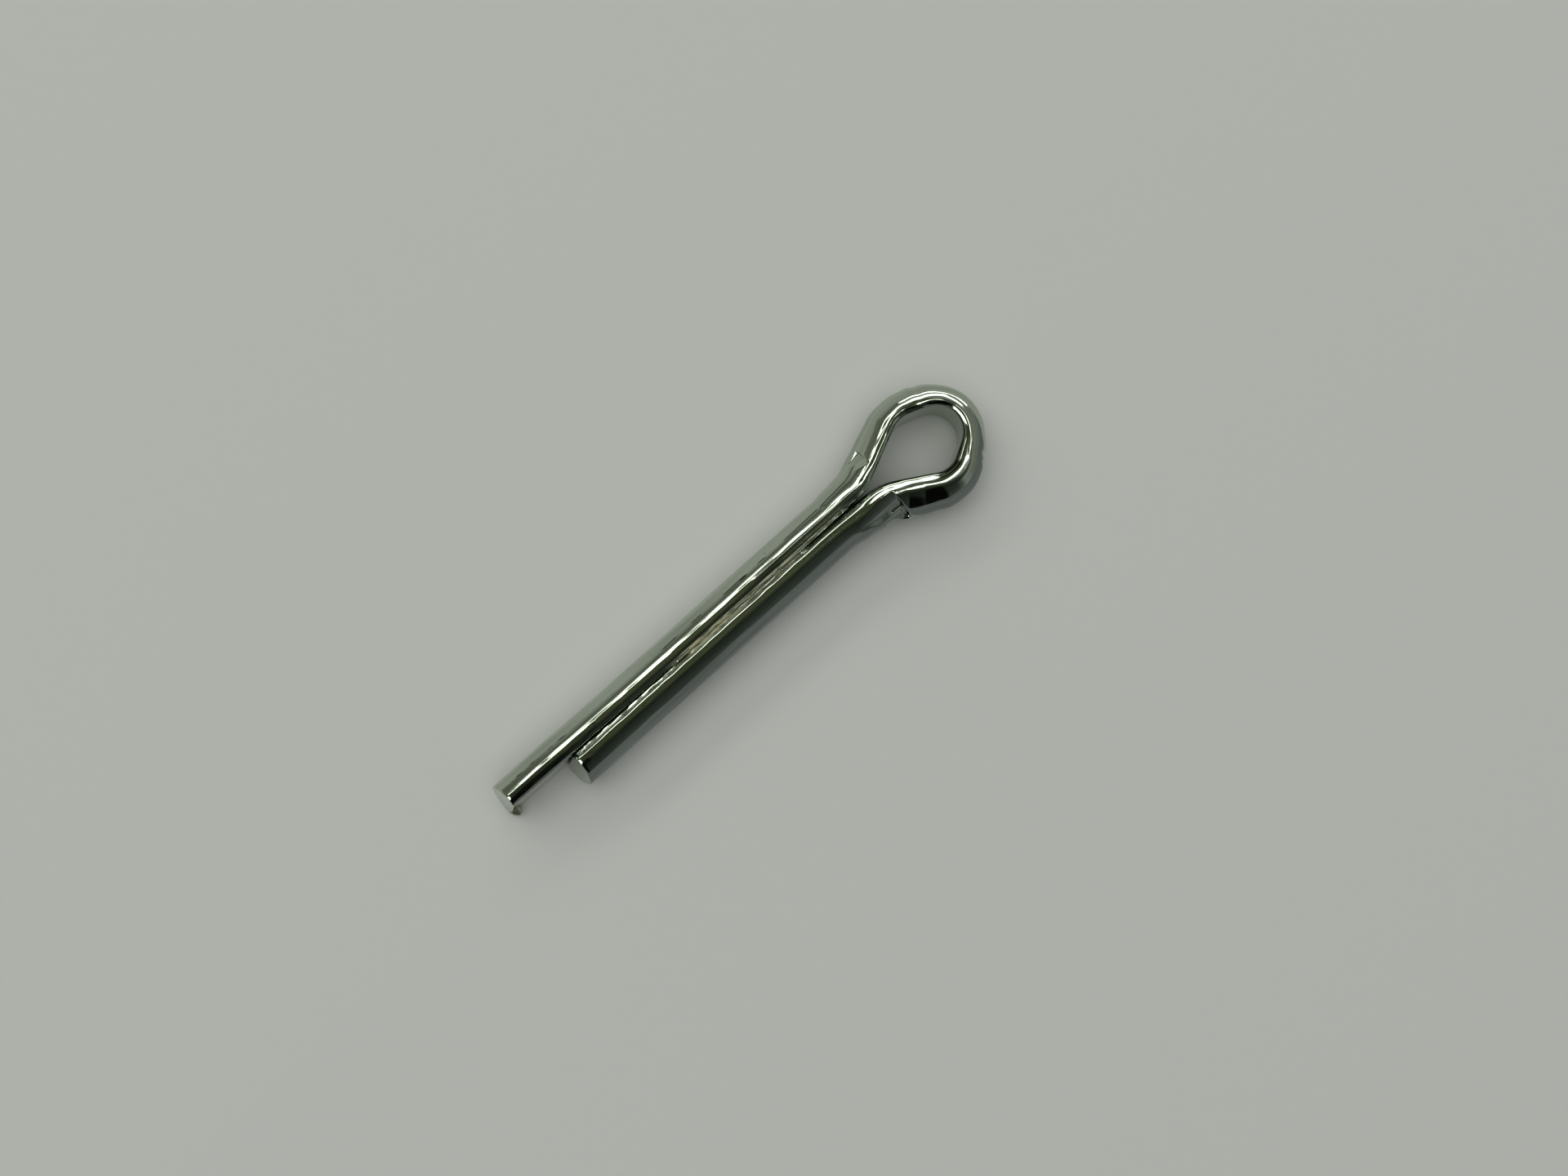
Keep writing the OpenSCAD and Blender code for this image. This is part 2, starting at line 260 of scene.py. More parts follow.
def wholeRoute():
    # stations of the whole wire, and how far along it each one is
    far = sideRoute(pin["longSide"], pin["longThickness"], pin["crownY"])
    near = sideRoute(pin["shortSide"], pin["shortThickness"], -pin["crownY"])[::-1][1:]
    near = np.stack([near[:, 0], -near[:, 1], -math.pi - near[:, 2], near[:, 3]], 1)
    start = [[-pin["longLeg"], pin["legGap"] / 2, 0, legThickness]]
    end = [[-pin["shortLeg"], -pin["legGap"] / 2, -math.pi, legThickness]]
    route = np.concatenate([start, far, near, end])
    along = np.r_[0, np.cumsum(np.hypot(*np.diff(route[:, :2], axis=0).T))]
    return route, along


def halfRound(topRadius):
    # out from the flat face, height, and the way the surface looks; it starts at the flat face's middle
    def arc(cx, cz, r, a, b, n):
        t = np.linspace(a, b, n, endpoint=False)
        return np.stack([cx + r * np.cos(t), cz + r * np.sin(t), np.cos(t), np.sin(t)], 1)

    def flat(a, b, n):
        return np.stack([np.zeros(n), np.linspace(a, b, n, endpoint=False), -np.ones(n), np.zeros(n)], 1)

    edge, shank, inset = pin["edgeRadius"], pin["shankRadius"], pin["legGap"] / 2
    topCentre = math.sqrt((shank - topRadius) ** 2 - (topRadius + inset) ** 2)
    topAngle = math.atan2(topCentre, topRadius + inset)
    shoulderAngle = topAngle - pin["shoulder"]
    points = np.concatenate([
        flat(0, -edgeCentre, pin["flatSteps"] // 2),
        arc(edge, -edgeCentre, edge, math.pi, 2 * math.pi - edgeAngle, pin["bottomSteps"]),
        arc(-inset, 0, shank, -edgeAngle, 0, pin["lowerSteps"]),
        arc(-inset, 0, shank, 0, shoulderAngle, pin["upperSteps"]),
        arc(-inset, 0, shank, shoulderAngle, topAngle, pin["shoulderSteps"]),
        arc(topRadius, topCentre, topRadius, topAngle, math.pi, pin["topSteps"]),
        flat(topCentre, 0, pin["flatSteps"] // 2),
    ])
    around = np.r_[0, np.cumsum(np.hypot(*np.diff(points[:, :2], axis=0).T))]
    girth = around[-1] + np.hypot(*(points[0, :2] - points[-1, :2]))
    return points, around, girth


def uneven(kind, along, over):
    # one of the pin's uneven patterns, at places along the wire and over its top edge
    height, long, wide, shift, seed = pin[kind]
    return height * ripple(along / long, over / wide + shift, seed)


def wornSurface(along, over, total):
    # how far the surface stands proud, from place along the wire and over its top edge
    height = uneven("drawn", along, over) + uneven("fine", along, over) + uneven("waves", along, over)
    nearTop = smooth((over - pin["nibbledFrom"]) / pin["nibbledFade"])
    height = height + uneven("nibbled", along, over) * nearTop
    for start, end, place, tall, wide in pin["creases"]:
        wander = uneven("creaseWander", along, place + 0 * along)
        held = between(along, start % total, end % total, pin["creaseFade"], pin["creaseFade"])
        height = height + tall * held * np.exp(-((over - place - wander) / wide) ** 2 / 2)
    for markAt, place, long, wide, tall in pin["marks"]:
        away = ((along - markAt) / long) ** 2 + ((over - place) / wide) ** 2
        height = height + tall * np.exp(-away / 2)
    return height


def pressByJaws(x, y, z):
    # the closing jaws pressed the neck flush with the shank, above and below the flash between them
    jawValues = ("jawPlay", "jawFlare", "jawTall", "jawEdge", "jawWide", "jawStepTop")
    flashValues = ("flashTop", "flashFrom", "flashSlope")
    bySide = {key: np.where(y > 0, *pin[key]) for key in jawValues + flashValues}
    edge, slope = bySide["jawEdge"], bySide["flashSlope"]
    height = np.abs(z)
    groove = pin["shankRadius"] + bySide["jawPlay"] + bySide["jawFlare"] * x / edge
    wide = 1 + (bySide["jawWide"] - 1) * smooth((pin["jawWideBelow"] - height) / pin["jawWideFade"])
    reach = np.hypot(y / wide, z / bySide["jawTall"])
    beyond = np.clip(np.abs(y) - bySide["flashFrom"], 0, pin["flashWide"])
    ledge = np.maximum(bySide["flashTop"] - slope * beyond, 0)
    steep = 1 / np.hypot(1, slope)
    outside = (reach > groove) & (height > ledge) & (x > 0)
    toLedge = outside & ((height - ledge) * steep < reach - groove)
    toGroove = outside & ~toLedge
    high = smooth((height - pin["jawStepFrom"]) / pin["jawStepFade"])
    step = pin["jawStep"] + (bySide["jawStepTop"] - pin["jawStep"]) * high
    share = smooth((edge - x) / step)
    scale = np.where(toGroove, groove / np.maximum(reach, 1e-6), 1)
    newY = y * (1 + (scale - 1) * share)
    newZ = z * (1 + (scale - 1) * share)
    newZ = np.where(toLedge, z + (np.sign(z) * ledge - z) * share, newZ)
    return np.stack([x, newY, newZ], 2)


def ringPlaces(route, along):
    # rings lie closest at the cut ends and the jaws' edge, and closer on the eye than on the legs
    total = along[-1]
    onLong, onShort = pin["jawEdge"]
    jaws = [along[np.argmax(route[:, 0] > onLong)], along[::-1][np.argmax(route[::-1, 0] > onShort)]]
    knots = [(p, gap) for p, gap in pin["endRings"]] + [(total - p, gap) for p, gap in pin["endRings"]]
    knots += [(p % total, gap) for p, gap in pin["eyeRings"]]
    knots += [(jaw + p, gap) for jaw in jaws for p, gap in pin["jawRings"]]
    knots = np.array(sorted(knots))
    fine = np.linspace(0, total, pin["spacingSteps"])
    gaps = np.interp((fine[1:] + fine[:-1]) / 2, knots[:, 0], knots[:, 1])
    count = np.r_[0, np.cumsum(np.diff(fine) / gaps)]
    return np.interp(np.linspace(0, count[-1], int(count[-1])), count, fine)


def meshPiece(name, coords, faces, places):
    # coords in mm from the neck; places are the lengthwise and crosswise mm of each face corner
    mesh = bpy.data.meshes.new(name)
    mesh.from_pydata(((coords + [toOrigin, 0, 0]) * mm).tolist(), [], faces)
    mesh.update()
    layer = mesh.uv_layers.new(name="wire")
    layer.data.foreach_set("uv", (places / uvUnit).ravel())
    mesh.polygons.foreach_set("use_smooth", [True] * len(mesh.polygons))
    piece = bpy.data.objects.new(name, mesh)
    bpy.context.scene.collection.objects.link(piece)
    return piece


def storeValues(piece, name, values):
    # one value for each point, which the finish reads
    attribute = piece.data.attributes.new(name, "FLOAT", "POINT")
    attribute.data.foreach_set("value", values)


def alongWire(table, total):
    # a table's places, counted from the long leg's end, and its values
    places, values = zip(*table)
    return [place % total for place in places], values


def addShelves(out, z, hidden, lengthwise, total):
    # ragged shelves under the top edge, on the side that faces the other leg
    crest = z.max(1, keepdims=True)
    for start, end, wide, deep, slope, fade, rough in pin["shelves"]:
        held = between(lengthwise, start % total, end % total, fade, fade)
        shelf = crest - deep - pin["shelfSink"] * (1 - held) - slope * (wide - out)
        shelf += rough * uneven("shelfBumps", lengthwise, out)
        z = np.where(hidden & (out < wide), np.maximum(z, shelf), z)
    return z


def closeEnd(rim, seed):
    # rings that shrink in the plane of the cut; its lower part tore instead of shearing
    middle = np.array([(rim[:, 1].min() + rim[:, 1].max()) / 2, 0])
    layers = []
    for share in pin["cutRings"]:
        yz = middle + (rim[:, 1:] - middle) * share
        torn = pin["tornHeight"] * ripple(*(yz.T / pin["tornSize"] + pin["tornShift"]), seed)
        z = yz[:, 1]
        torn = torn * smooth((pin["tornBelow"] - z) / pin["tornFade"]) * smooth((1 - share) / pin["tornRim"])
        x = rim[:, 0] + (z - rim[:, 2]) * shearLean + np.abs(torn)
        layers.append(np.column_stack([x, yz]))
    return np.array(layers)


def shadedFilmOn(lengthwise, over, total):
    # how dull the wire is where the legs touch, and how much painted shade its colour takes there
    onLong = lengthwise < total / 2
    band = smooth((over - np.where(onLong, *pin["shadedFilmFrom"])) / pin["shadedFilmFade"])
    strength = 0
    for start, end, fadeIn, fadeOut, share in pin["shadedFilm"]:
        strength = strength + share * between(lengthwise, start % total, end % total, fadeIn, fadeOut)
    return strength * band


def scratchesAndShadeOn(lengthwise, over, total):
    # how dark the wire is along each scratch and each band of painted shade, from 0 to 1
    wander = uneven("scratchAndShadeWander", lengthwise, 0 * lengthwise)
    dark = 0
    for start, end, first, then in pin["scratchesAndPaintedShade"]:
        start, end = start % total, end % total
        share = np.clip((lengthwise - start) / (end - start), 0, 1)
        away = (over - first - (then - first) * share - wander) / pin["scratchWidth"]
        held = between(lengthwise, start, end, pin["scratchAndShadeFade"], pin["scratchAndShadeFade"])
        dark = dark + held * np.exp(-away ** 2 / 2)
    return np.clip(dark, 0, 1)


def makePin():
    route, along = wholeRoute()
    total = along[-1]
    rings = ringPlaces(route, along)
    wireX, wireY, heading, thick = (np.interp(rings, along, route[:, k])[:, None] for k in range(4))
    shape, around, girth = halfRound(pin["edgeRadius"])
    looksOut, looksUp = shape[:, 2], shape[:, 3]
    m = len(shape)  # points round the wire
    lengthwise, crosswise = np.meshgrid(rings, around, indexing="ij")
    over = crosswise - around[np.argmax(looksUp)]

    # the section, with a sharper top edge on the long side of the eye and a blunter one on the short side
    places, radii = alongWire(pin["topRadius"], total)
    least, most = min(radii), max(radii)
    blunt = ((np.interp(rings, places, radii) - least) / (most - least))[:, None, None]
    form = halfRound(least)[0] * (1 - blunt) + halfRound(most)[0] * blunt

    # worn surface, left out on the flat faces
    onFlat = np.isclose(looksOut, -1)
    worn = np.where(onFlat, smooth(1 - (edgeCentre - np.abs(shape[:, 1])) / pin["wornFace"]), 1)
    proud = wornSurface(lengthwise, over, total) * worn
    out = form[:, :, 0] * (thick / legThickness) + form[:, :, 2] * proud
    z = form[:, :, 1] + form[:, :, 3] * proud
    # a sharper edge reaches no higher than a blunt one
    z = np.where(z > 0, z * np.minimum(halfHeight / z.max(1, keepdims=True), 1), z)
    hidden = (looksOut < 0) & (looksUp > 0) & ~onFlat
    z = addShelves(out, z, hidden, lengthwise, total)

    # rims of the cut ends: small all round, and rolled over along the top by the shear
    upward = smooth((looksUp - pin["rollFrom"]) / pin["rollFade"])
    deep = pin["rimRadius"] + (pin["rollDepth"] - pin["rimRadius"]) * upward
    long = pin["rimRadius"] + (pin["rollLength"] - pin["rimRadius"]) * upward
    nearEnd = np.clip(1 - np.minimum(rings, total - rings)[:, None] / long, 0, 1)
    inset = deep * (1 - np.sqrt(1 - nearEnd ** 2))
    out = out - looksOut * inset
    z = z - looksUp * inset

    # the eye's wire leans outward on its slopes, and the long leg has a slight twist and bow
    places, degrees = alongWire(pin["lean"], total)
    lean = np.tan(np.radians(np.interp(rings, places, degrees)))[:, None]
    z = z - lean * (out - pin["leanPivot"]) * smooth(z)
    loose = smooth(1 - rings / pin["bowReach"])[:, None]
    turn = -np.radians(pin["twist"] * loose)
    toPivot = out - pin["twistPivot"]
    out = pin["twistPivot"] + toPivot * np.cos(turn) - z * np.sin(turn)
    z = toPivot * np.sin(turn) + z * np.cos(turn)
    shortFrom, shortFade = pin["shortMeets"]
    meet = between(rings, *pin["longMeets"]) - smooth((rings - shortFrom % total) / shortFade)
    wireY = wireY + pin["bow"] * loose - pin["legsMeet"] * meet[:, None]

    # the cuts lean, and the lean dies away along the leg
    nearCut = 2 - smooth(rings / pin["shearReach"]) - smooth((total - rings) / pin["shearReach"])
    x = wireX - np.sin(heading) * out + z * shearLean * nearCut[:, None]
    y = wireY + np.cos(heading) * out
    body = pressByJaws(x, y, z)
    firstSeed, lastSeed = pin["tornSeeds"]
    grid = np.concatenate([closeEnd(body[0], firstSeed)[::-1], body, closeEnd(body[-1], lastSeed)])

    # faces round the wire, and a fan at the middle of each cut
    caps = len(pin["cutRings"])
    rows = len(grid)
    coords = np.concatenate([grid.reshape(-1, 3), [grid[0].mean(0), grid[-1].mean(0)]])
    i, j = (k.ravel() for k in np.meshgrid(np.arange(rows - 1), np.arange(m), indexing="ij"))
    following = (j + 1) % m
    quads = np.stack([i * m + j, i * m + following, (i + 1) * m + following, (i + 1) * m + j], 1)
    rim = np.arange(m)
    startFan = np.stack([(rim + 1) % m, rim, np.full(m, rows * m)], 1)
    endFan = np.stack([(rows - 1) * m + rim, (rows - 1) * m + (rim + 1) % m, np.full(m, rows * m + 1)], 1)
    corners = np.concatenate([quads.ravel(), startFan.ravel(), endFan.ravel()])
    places = np.stack(np.meshgrid(np.pad(rings, caps, mode="edge"), around, indexing="ij"), 2).reshape(-1, 2)
    places = np.concatenate([places, [[0, girth / 2], [total, girth / 2]]])[corners]
    # the last strip round the wire runs on to the full girth instead of back to zero
    last = np.repeat(following == 0, 4) & np.tile([False, True, True, False], len(quads))
    places[:len(last), 1] += girth * last
    piece = meshPiece("wire_pin", coords, quads.tolist() + startFan.tolist() + endFan.tolist(), places)
    for name, values in (("dullAndShaded", shadedFilmOn), ("scratchedAndShaded", scratchesAndShadeOn)):
        onGrid = np.pad(values(lengthwise, over, total), ((caps, caps), (0, 0)))
        storeValues(piece, name, np.r_[onGrid.ravel(), 0, 0])
    print("pin: rings", len(rings), "points round", m, "triangles", 2 * len(quads) + 2 * m)
    return piece


# torn lip at the foot of the long leg's end: a lobe that narrows toward its tip
lip = {
    "long": 0.65, "tall": 0.6, "reach": 0.35,
    "back": 0.15, "inside": 0.15,             # how far its root lies beyond the cut's foot and inside the leg
    "roundness": 2.2, "tipSwell": 0.02,       # how its length narrows, and how little is left at the tip
    "taper": 0.8, "tipTall": 0.22,            # the same for its height
    "raggedLong": 0.01, "raggedTall": 0.008,  # unevenness, which grows toward the tip
    "rows": 14, "steps": 28, "seed": 4,
    "dullAndShaded": 0.5,                           # torn metal is dull, and its darker colour paints the shade at the foot of the cut
}


def makeBurr():
    footZ = -edgeCentre - pin["edgeRadius"] / 4
    rootX = -pin["longLeg"] - lip["back"] + (footZ + lip["tall"]) * shearLean
    rows, steps = lip["rows"], lip["steps"]
    rng = np.random.default_rng(lip["seed"])
    coords = []
    for a in np.linspace(0, 1, rows):
        # from the root inside the leg out to the lip
        halfLong = lip["long"] / 2 * math.sqrt(max(1 - a ** lip["roundness"], lip["tipSwell"]))
        tall = lip["tall"] * (lip["tipTall"] + (1 - lip["tipTall"]) * (1 - a) ** lip["taper"])
        y = pin["legGap"] / 2 + pin["bow"] + lip["inside"] - a * (lip["reach"] + lip["inside"] + pin["bow"])
        for t in np.linspace(0, 2 * math.pi, steps, endpoint=False):
            c, q = math.cos(t), math.sin(t)
            squared = 1 / (abs(c) ** 3 + abs(q) ** 3) ** (1 / 3)
            x = rootX + lip["long"] / 2 + halfLong * c * squared + lip["raggedLong"] * rng.normal() * a
            z = footZ + tall / 2 + tall / 2 * q * squared + lip["raggedTall"] * rng.normal() * a
            coords.append([x, y, z])
    faces = []
    for row in range(rows - 1):
        for step in range(steps):
            following = (step + 1) % steps
            near, far = row * steps, (row + 1) * steps
            faces.append([near + step, near + following, far + following, far + step])
    faces.append(list(range(steps))[::-1])
    faces.append([(rows - 1) * steps + step for step in range(steps)])
    coords = np.array(coords)
    corners = np.concatenate([np.array(face) for face in faces])
    piece = meshPiece("burr", coords, faces, coords[corners][:, [0, 2]])
    storeValues(piece, "dullAndShaded", np.full(len(coords), lip["dullAndShaded"]))
    print("burr: points", len(coords))
    return piece


wirePin = makePin()
burr = makeBurr()


def node(tree, kind, links=None, **settings):
    # adds a node; links maps an input's name or number to an output socket or a value
    made = tree.nodes.new(kind)
    for name, value in settings.items():
        setattr(made, name, value)
    for name, value in (links or {}).items():
        if isinstance(value, bpy.types.NodeSocket):
            tree.links.new(value, made.inputs[name])
        else:
            made.inputs[name].default_value = value
    return made


def zincPlatedSteel():
    # bright zinc plating over cold-drawn low-carbon steel wire: a near mirror, cool grey with a trace of
    # green, made uneven by the die's lengthwise scratches and by small pits where the plating is thin;
    # painted shade darkens it where the legs touch and over the eye's lamp lines
    finish = {
        "zinc": "#b4bdae", "dull": "#a0a899", "dullAndShaded": "#96936e", "pit": "#55564c", "scratch": "#34362a",
        "roughness": (0.07, 0.13), "tarnishRoughness": 0.5, "tarnishMetal": 0.45, "bump": 0.6,
        # lengthwise scratches, in mm; real ones are about 0.02 mm wide, drawn coarser so they show
        "scratchLength": 5.0, "scratchWidth": 0.06, "scratchHeight": 0.0009,
        "bandLength": 6.0, "bandWidth": 0.4,      # brighter and duller bands of plating
        "patchLength": 0.9, "patchWidth": 0.13,   # patches that the dull film and its painted shade break up into
        "pitSize": 0.16,                          # pits, spaced by about this much
        "detail": 3.0, "pitDetail": 2.0, "scratchGrain": 0.6,
        # the part of each pattern's range that is used, from nothing to full
        "bandRange": (0.4, 0.7), "patchRange": (0.4, 0.58), "pitRange": (0.69, 0.75),
        "scratchRange": (0.3, 0.24), "roughRange": (0.35, 0.65), "leastDullAndShaded": 0.2,
    }
    material = bpy.data.materials.new("zinc plated steel")
    material.use_nodes = True
    t = material.node_tree
    t.nodes.clear()
    place = node(t, "ShaderNodeUVMap", uv_map="wire").outputs["UV"]

    patterns = {}
    for name in ("scratch", "band", "patch"):
        scale = (uvUnit / finish[name + "Length"], uvUnit / finish[name + "Width"], 1)
        stretched = node(t, "ShaderNodeMapping", {"Vector": place, "Scale": scale}).outputs[0]
        patterns[name] = node(t, "ShaderNodeTexNoise", {
            "Vector": stretched, "Scale": 1.0, "Detail": finish["detail"]})
    patterns["scratch"].inputs["Roughness"].default_value = finish["scratchGrain"]
    patterns["pit"] = node(t, "ShaderNodeTexNoise", {
        "Vector": place, "Scale": uvUnit / finish["pitSize"], "Detail": finish["pitDetail"]})

    shares = {}
    for name in ("scratch", "band", "patch", "pit"):
        low, high = finish[name + "Range"]
        fac = patterns[name].outputs["Fac"]
        shares[name] = node(t, "ShaderNodeMapRange", {"Value": fac, "From Min": low, "From Max": high})
    shares["patch"].inputs["To Min"].default_value = finish["leastDullAndShaded"]

    # how dull the wire is where the legs touch, with its painted shade, read from the pin
    shadedFilm = node(t, "ShaderNodeAttribute", attribute_name="dullAndShaded").outputs["Fac"]
    broken = {0: shadedFilm, 1: shares["patch"].outputs[0]}
    dullAndShaded = node(t, "ShaderNodeMath", broken, operation="MULTIPLY").outputs[0]
    # scratches, and painted shade over the eye's lamp lines, read from the pin
    deep = node(t, "ShaderNodeAttribute", attribute_name="scratchedAndShaded").outputs["Fac"]
    either = {0: shares["scratch"].outputs[0], 1: deep}
    scratch = node(t, "ShaderNodeMath", either, operation="MAXIMUM").outputs[0]

    # from clean zinc through the duller bands, the dull film with its painted shade and the pits to the
    # scratches and the painted shade over the eye
    colour = linear(finish["zinc"])
    bands, pits = shares["band"].outputs[0], shares["pit"].outputs[0]
    for name, share in (("dull", bands), ("dullAndShaded", dullAndShaded), ("pit", pits), ("scratch", scratch)):
        mixed = node(t, "ShaderNodeMix", {0: share, 6: colour, 7: linear(finish[name])}, data_type="RGBA")
        colour = mixed.outputs[2]
    metallic = node(t, "ShaderNodeMapRange", {
        "Value": dullAndShaded, "To Min": 1.0, "To Max": finish["tarnishMetal"]})
    lines = patterns["scratch"].outputs["Fac"]
    (low, high), (polished, rubbed) = finish["roughRange"], finish["roughness"]
    rough = node(t, "ShaderNodeMapRange", {
        "Value": lines, "From Min": low, "From Max": high, "To Min": polished, "To Max": rubbed})
    rougher = node(t, "ShaderNodeMix", {0: dullAndShaded, 2: rough.outputs[0], 3: finish["tarnishRoughness"]})
    bump = node(t, "ShaderNodeBump", {
        "Height": lines, "Strength": finish["bump"], "Distance": finish["scratchHeight"] * mm})
    shader = node(t, "ShaderNodeBsdfPrincipled", {
        "Base Color": colour, "Roughness": rougher.outputs[0], "Metallic": metallic.outputs[0],
        "Normal": bump.outputs[0]})
    node(t, "ShaderNodeOutputMaterial", {"Surface": shader.outputs[0]})
    return material


zinc = zincPlatedSteel()
for piece in (wirePin, burr):
    piece.data.materials.append(zinc)
    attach(piece, "root")
    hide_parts("cotter_pin")
print("pin made and dressed")


studio = {
    "floor": "#a6a9a4", "floorRoughness": 0.85, "floorSize": 3.0, "backdrop": "#a6a9a4",
    # the room as the metal shows it, by degrees round the wire from overhead toward the strip lamp:
    # over the shank, toward the eye and toward the cut ends
    "room": (
        (-90, "#4f5351"), (-70, "#3a3f3c"), (-54, "#303731"), (-42, "#282e25"), (-30, "#353a2e"),
        (-15, "#44483c"), (0, "#5b5d47"), (25, "#52553f"), (40, "#4d513c"), (50, "#4d513c"), (60, "#82857b"),
        (67, "#7b7e74"), (72, "#55584d"), (76, "#82857b"), (82, "#9c9e9a"), (90, "#acaead"),
    ),
    "roomRight": (
        (-90, "#979a99"), (-62, "#979a99"), (-50, "#454a44"), (-24, "#454a44"), (-12, "#8a8d86"),
        (6, "#8a8d86"), (16, "#5a5d50"), (48, "#4d513c"), (58, "#82857b"), (67, "#7b7e74"), (72, "#55584d"),
        (77, "#82857b"), (82, "#9c9e9a"), (90, "#acaead"),
    ),
    "roomLeft": (
        (-90, "#0a0b0a"), (-14, "#0a0b0a"), (5, "#33372a"), (50, "#45493a"), (60, "#6a6d60"),
        (90, "#82857b"),
    ),
    "roomFarRight": "#8a8d86",  # one tone beyond the eye
    # where each side's colours begin and take over, as the X of a direction
    "rightFade": (0.09, 0.28), "farRightFade": (0.42, 0.56), "leftFade": (-0.13, -0.24),
    # lamps seen in the metal: the middles of their two ends in metres, width, brightness
    "lamps": (
        ("strip lamp", (-0.6, 0.81, 0.59), (1.15, 0.81, 0.59), 0.157, 2.5),
        ("right panel", (0.76, 0.5, 0.41), (0.9, 0.1, 0.43), 0.12, 3.0),
        ("low strip", (0.4, 0.88, 0.27), (0.78, 0.62, 0.08), 0.1, 3.0),
        ("low right strip", (0.78, 0.62, 0.08), (1.0, 0.05, 0.08), 0.1, 2.5),
        ("left panel", (-0.5, 0.1, 0.85), (-0.98, 0.1, 0.2), 0.58, 2.5),
        ("ceiling panel", (0.195, 0.02, 1.0), (0.36, 0.02, 1.0), 0.34, 3.0),
    ),
    # lamps for soft light, not seen in the metal: place in metres, size, brightness
    "softLamps": (
        ("soft side lamp", (0, 0.58, 0.69), (1.2, 0.9), 0.55),
        ("soft ceiling", (0, 0, 1.2), (2.0, 2.0), 1.16),
    ),
    # a glowing grey sheet on the floor in front of the short leg, seen in the metal only: a painted
    # reflection of the darker, shaded floor on that side; in metres, its near and far edges and its sides,
    # and the nearer edge that it has along the leg
    "floorShadeSheet": "#74767a", "apronFrom": -0.0045, "apronTo": -1.4, "apronSide": 1,
    "apronLegFrom": -0.0022, "apronLegTo": 0.0125, "apronHeight": 0.00005,
}


def plainMaterial(name, hexText, roughness):
    material = bpy.data.materials.new(name)
    material.use_nodes = True
    shader = material.node_tree.nodes["Principled BSDF"]
    shader.inputs["Base Color"].default_value = linear(hexText)
    shader.inputs["Roughness"].default_value = roughness
    return material


def glowingMaterial(name, hexText):
    # looks the same whatever light falls on it
    material = bpy.data.materials.new(name)
    material.use_nodes = True
    material.node_tree.nodes.clear()
    glow = node(material.node_tree, "ShaderNodeEmission", {"Color": linear(hexText)})
    node(material.node_tree, "ShaderNodeOutputMaterial", {"Surface": glow.outputs[0]})
    return material


def flatSheet(name, outline, height, material):
    mesh = bpy.data.meshes.new(name)
    mesh.from_pydata([(x, y, height) for x, y in outline], [], [tuple(range(len(outline)))])
    mesh.materials.append(material)
    sheet = bpy.data.objects.new(name, mesh)
    bpy.context.scene.collection.objects.link(sheet)
    return sheet


floorZ = cadBox[0][2]
half = studio["floorSize"] / 2
floorOutline = ((-half, -half), (half, -half), (half, half), (-half, half))
# matt paint on board: an even tone with no shine
paintedBoard = plainMaterial("pale painted board", studio["floor"], studio["floorRoughness"])
floor = flatSheet("floor", floorOutline, floorZ, paintedBoard)

side, near, far = studio["apronSide"], studio["apronFrom"], studio["apronTo"]
nearest, turnX = studio["apronLegFrom"], studio["apronLegTo"]
apronOutline = ((-side, nearest), (turnX, nearest), (turnX, near), (side, near), (side, far), (-side, far))
# painted shade: a glowing grey sheet that the metal shows in place of the shaded floor on that side, the same
# whatever light falls on it
paintedShadeGlow = glowingMaterial("painted floor shade", studio["floorShadeSheet"])
floorShadeSheet = flatSheet("floorShadeSheet", apronOutline, floorZ + studio["apronHeight"], paintedShadeGlow)
floorShadeSheet.visible_camera = False
floorShadeSheet.visible_diffuse = False
floorShadeSheet.visible_shadow = False
floorShadeSheet.visible_transmission = False


def areaLamp(name, place, size, brightness, along=(1, 0, 0)):
    # faces the pin; brightness is what a mirror would show, where 1 is white
    data = bpy.data.lights.new(name, "AREA")
    data.shape = "RECTANGLE"
    data.size, data.size_y = size
    data.energy = 4 * size[0] * size[1] * brightness  # Cycles spreads a lamp's watts over four times its area
    lamp = bpy.data.objects.new(name, data)
    back = Vector(place).normalized()
    side = (Vector(along) - back * back.dot(Vector(along))).normalized()
    turned = Matrix((side, back.cross(side), back)).transposed().to_4x4()
    lamp.matrix_world = Matrix.Translation(place) @ turned
    lamp.visible_camera = False
    bpy.context.scene.collection.objects.link(lamp)
    return lamp


for name, start, end, width, bright in studio["lamps"]:
    along = Vector(end) - Vector(start)
    lamp = areaLamp(name, (Vector(start) + Vector(end)) / 2, (along.length, width), bright, along)
    lamp.visible_diffuse = name == "strip lamp"  # the others are seen in the metal only
for name, place, size, bright in studio["softLamps"]:
    areaLamp(name, place, size, bright).visible_glossy = False

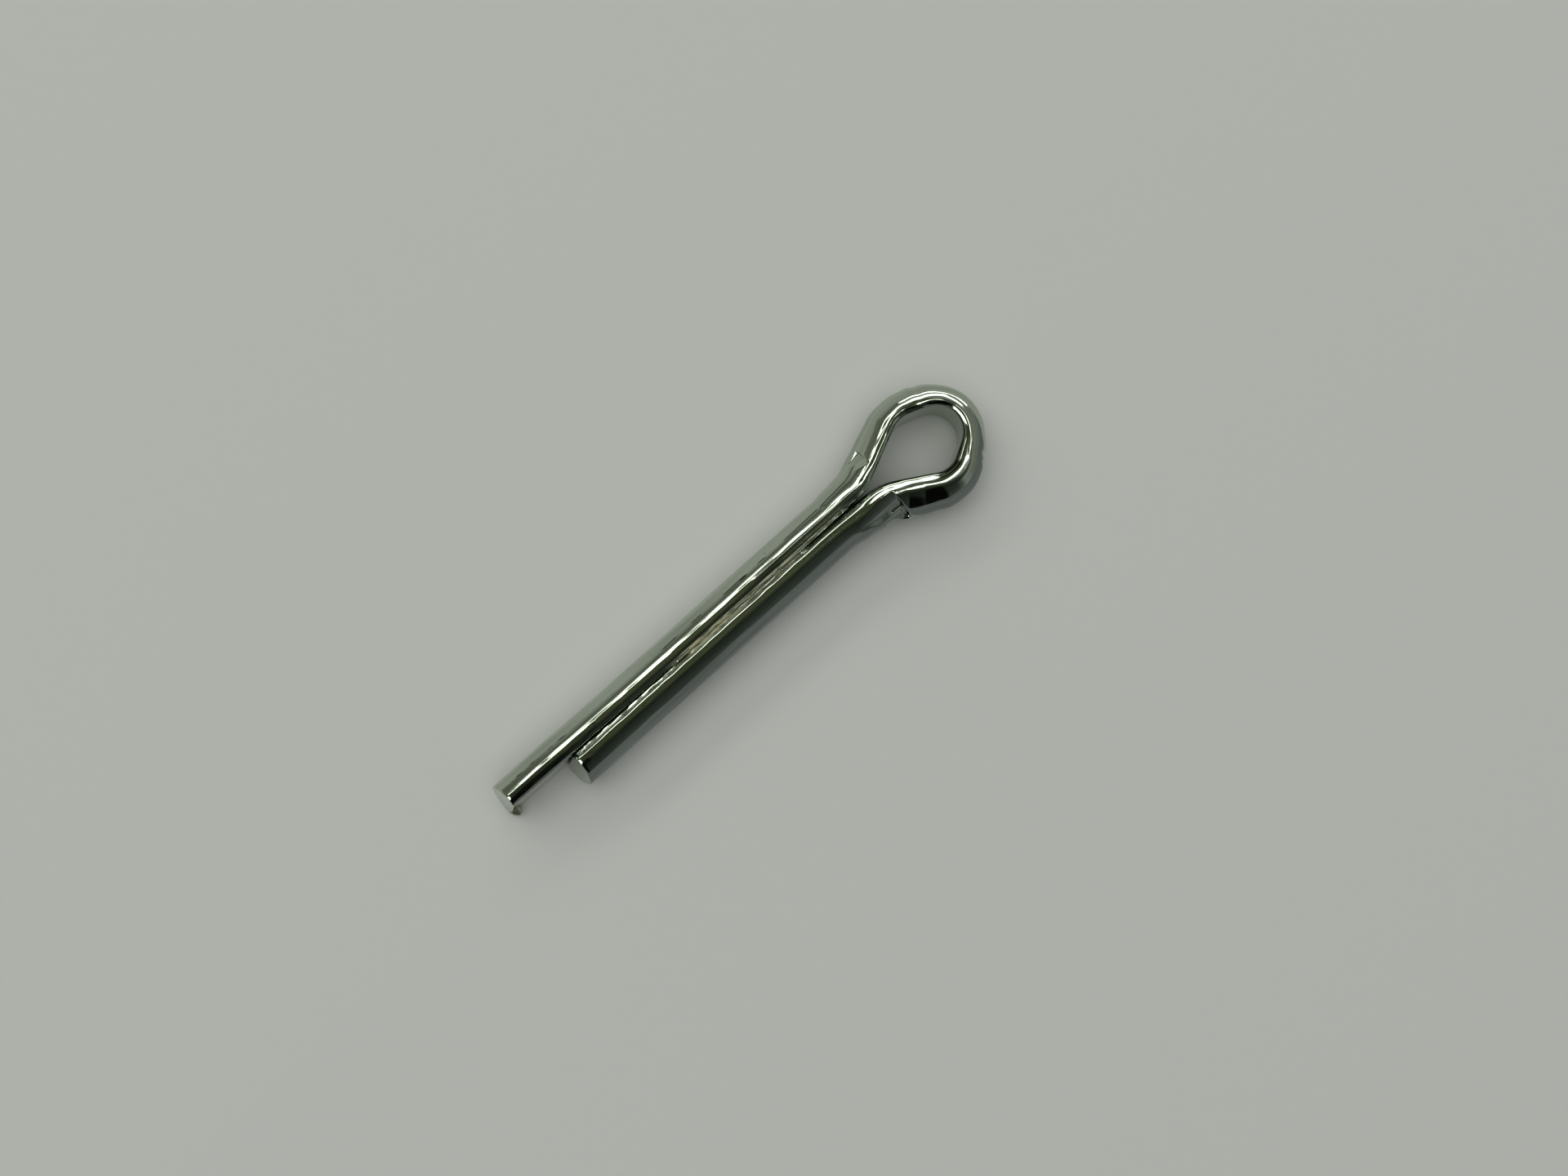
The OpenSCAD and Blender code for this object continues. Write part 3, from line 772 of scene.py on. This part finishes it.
world = bpy.data.worlds.new("studio")
bpy.context.scene.world = world
world.use_nodes = True
sky = world.node_tree
sky.nodes.clear()
way = node(sky, "ShaderNodeSeparateXYZ", {0: node(sky, "ShaderNodeTexCoord").outputs["Generated"]}).outputs
roll = node(sky, "ShaderNodeMath", {0: way["Y"], 1: way["Z"]}, operation="ARCTAN2").outputs[0]
rollShare = node(sky, "ShaderNodeMapRange", {"Value": roll, "From Min": -math.pi, "From Max": math.pi})
rooms = {}
for room in ("room", "roomRight", "roomLeft"):
    ramp = node(sky, "ShaderNodeValToRGB", {"Fac": rollShare.outputs[0]})
    rooms[room] = ramp.outputs[0]
    stops = ramp.color_ramp.elements
    stops.remove(stops[1])
    for k, (degrees, hexText) in enumerate(studio[room]):
        stop = stops[0] if k == 0 else stops.new(1)
        stop.position = degrees / 360 + 0.5
        stop.color = linear(hexText)
rooms["roomFarRight"] = linear(studio["roomFarRight"])
shown = rooms["room"]
for side, room in (("right", "roomRight"), ("farRight", "roomFarRight"), ("left", "roomLeft")):
    begins, whole = studio[side + "Fade"]
    fade = node(sky, "ShaderNodeMapRange", {"Value": way["X"], "From Min": begins, "From Max": whole},
                interpolation_type="SMOOTHSTEP")
    mixed = node(sky, "ShaderNodeMix", {0: fade.outputs[0], 6: shown, 7: rooms[room]}, data_type="RGBA")
    shown = mixed.outputs[2]
sight = node(sky, "ShaderNodeLightPath").outputs["Is Camera Ray"]
behind = linear(studio["backdrop"])
mixed = node(sky, "ShaderNodeMix", {0: sight, 6: shown, 7: behind}, data_type="RGBA")
light = node(sky, "ShaderNodeBackground", {"Color": mixed.outputs[2]})
node(sky, "ShaderNodeOutputWorld", {0: light.outputs[0]})

# where the camera stands and what it looks at, in mm from the neck
view = {
    "eye": (-6.976, -4.5615, 70.171), "target": (-4.49, -0.7345, -1.729), "up": (0.6698, 0.7426, 0.0),
    "lens": 28.125, "sensor": 36, "sees": (0.001, 100),  # nearest and furthest that it sees, in metres
}
eye = Vector(view["eye"]) + Vector((toOrigin, 0, 0))
look = (Vector(view["target"]) + Vector((toOrigin, 0, 0)) - eye).normalized()
right = look.cross(Vector(view["up"])).normalized()
upward = right.cross(look)
cameraData = bpy.data.cameras.new("camera")
cameraData.lens = view["lens"]
cameraData.sensor_width = view["sensor"]
cameraData.sensor_fit = "HORIZONTAL"
cameraData.clip_start, cameraData.clip_end = view["sees"]
camera = bpy.data.objects.new("camera", cameraData)
camera.matrix_world = Matrix.Translation(eye * mm) @ Matrix((right, upward, -look)).transposed().to_4x4()
bpy.context.scene.collection.objects.link(camera)
bpy.context.scene.camera = camera
bpy.context.scene.view_settings.view_transform = "Standard"
print("studio set")
